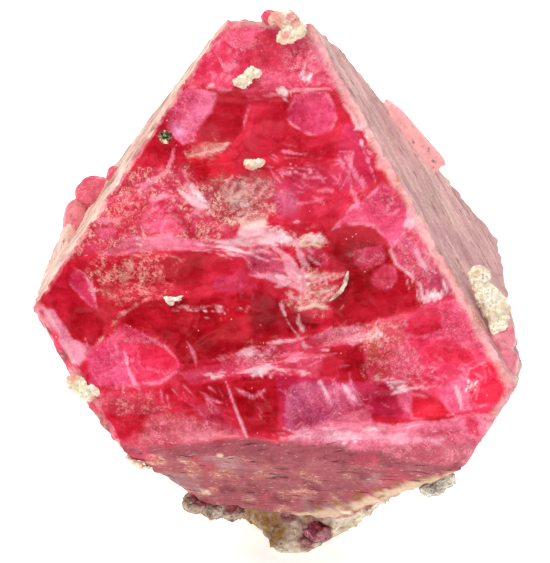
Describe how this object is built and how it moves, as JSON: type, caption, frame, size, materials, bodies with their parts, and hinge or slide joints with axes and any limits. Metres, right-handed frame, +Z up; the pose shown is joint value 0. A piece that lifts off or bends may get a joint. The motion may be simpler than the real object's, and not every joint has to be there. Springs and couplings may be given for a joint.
{
  "type": "spinel crystal in marble matrix",
  "caption": "Red octahedral spinel crystal, broken open on its front, on a wedge of white and ochre marble that is broken flat underneath and carries it upright.",
  "frame": {"origin": "middle of the specimen's box, at the level of its flat rest face", "axes": "+Z up, the broken red front of the crystal faces -Y, +X to the right seen from the front"},
  "size_m": [0.041, 0.0283, 0.0452],
  "materials": {
    "spinel": "clear to milky red crystal, glassy on its broken front and frosted on its side faces",
    "marble": "granular white and cream calcite marble with ochre iron stain",
    "calcite": "cream calcite grains, slightly translucent",
    "crust": "dull greenish grey pitted crust",
    "pyrite": "tarnished metallic grain",
    "mica": "greenish grey pearly flake"
  },
  "bodies": {
    "root": {"spinel_crystal": "spinel", "marble_matrix": "marble", "calcite_cap_top": "calcite", "calcite_chip_upper": "calcite", "calcite_fleck_centre": "calcite", "calcite_crust_right": "calcite", "calcite_crust_left": "calcite", "calcite_lump_lower_left": "calcite", "calcite_bead_lower_right": "calcite", "crust_lower_left": "crust", "spinel_grain_base": "spinel", "pyrite_grain": "pyrite", "mica_blade_centre": "mica", "mica_flake_left": "mica"}
  },
  "joints": []
}
